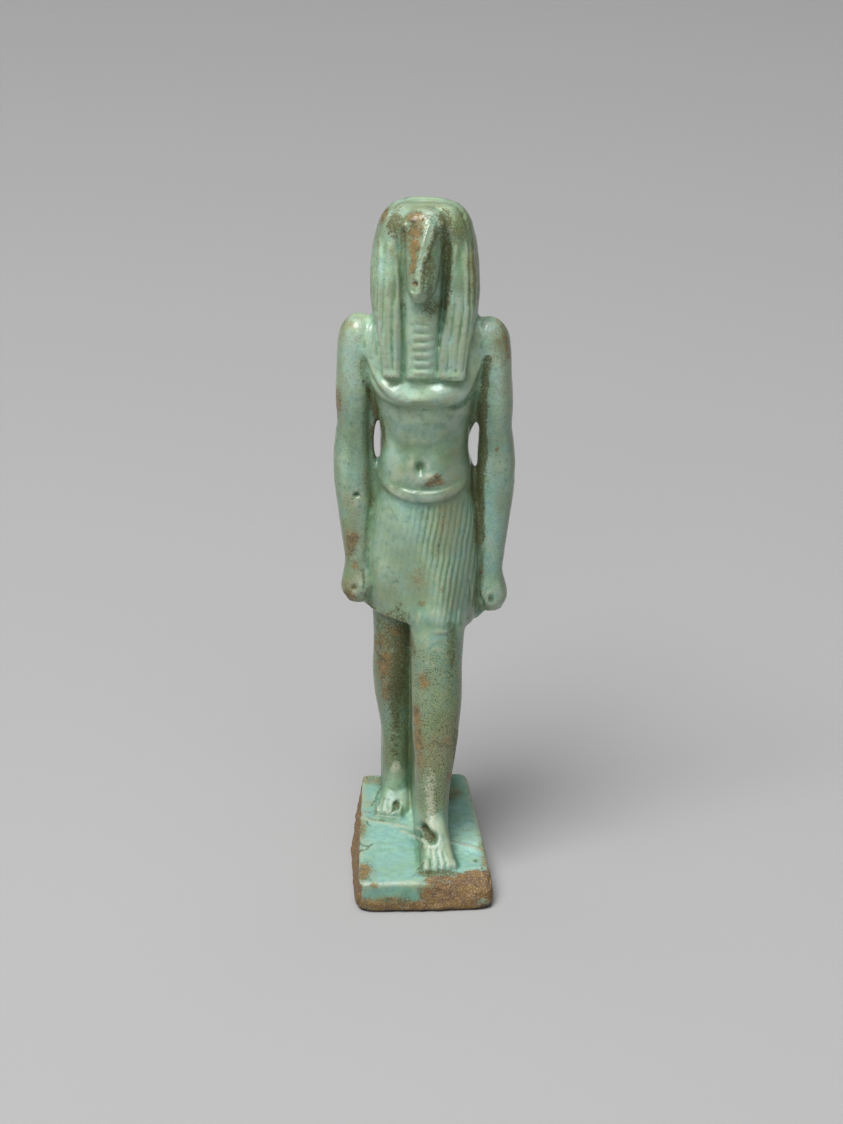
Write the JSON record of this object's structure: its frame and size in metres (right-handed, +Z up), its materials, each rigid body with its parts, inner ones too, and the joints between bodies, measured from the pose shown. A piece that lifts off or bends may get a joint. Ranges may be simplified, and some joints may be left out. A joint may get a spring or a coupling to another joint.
{
  "type": "deity amulet",
  "caption": "Small faience amulet of a striding ibis-headed deity with wig and pleated kilt, on a low base, with a pierced back pillar.",
  "frame": {"origin": "middle of the flat underside of the base", "axes": "+Z up through the figure; the figure faces -Y; +X is to the viewer's right from the front"},
  "size_m": [0.0181, 0.0246, 0.0683],
  "materials": {
    "faience": "worn blue-green faience glaze, satin to glossy, with brown and olive burial stains"
  },
  "bodies": {
    "root": {"amulet": "faience"}
  },
  "joints": []
}
